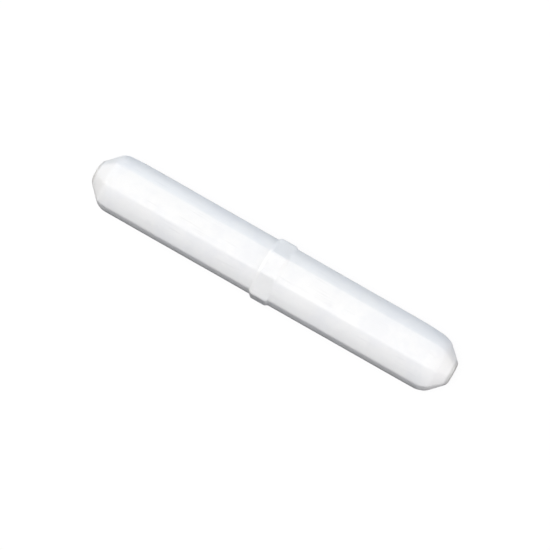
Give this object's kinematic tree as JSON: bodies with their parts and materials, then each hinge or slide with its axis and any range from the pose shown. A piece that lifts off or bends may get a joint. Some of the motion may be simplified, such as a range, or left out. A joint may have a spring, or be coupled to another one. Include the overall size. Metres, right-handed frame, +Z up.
{
  "type": "magnetic stir bar",
  "caption": "White eight-sided bar with tapered, rounded ends and a low pivot ring round its middle, moulded over a sealed magnet rod; it lies flat and spins in a vessel.",
  "frame": {"origin": "middle of the lowest flat of the pivot ring, the point that the bar rests on and turns about", "axes": "+X along the bar, towards the end with the rounder shoulders; +Z up from the surface that the bar rests on"},
  "size_m": [0.0508, 0.008, 0.008],
  "materials": {
    "jacket": "sintered PTFE, white, faintly waxy, satin",
    "magnet": "cast magnet alloy, ground to size"
  },
  "bodies": {
    "root": {"ptfe_jacket": "jacket", "magnet": "magnet"}
  },
  "joints": []
}
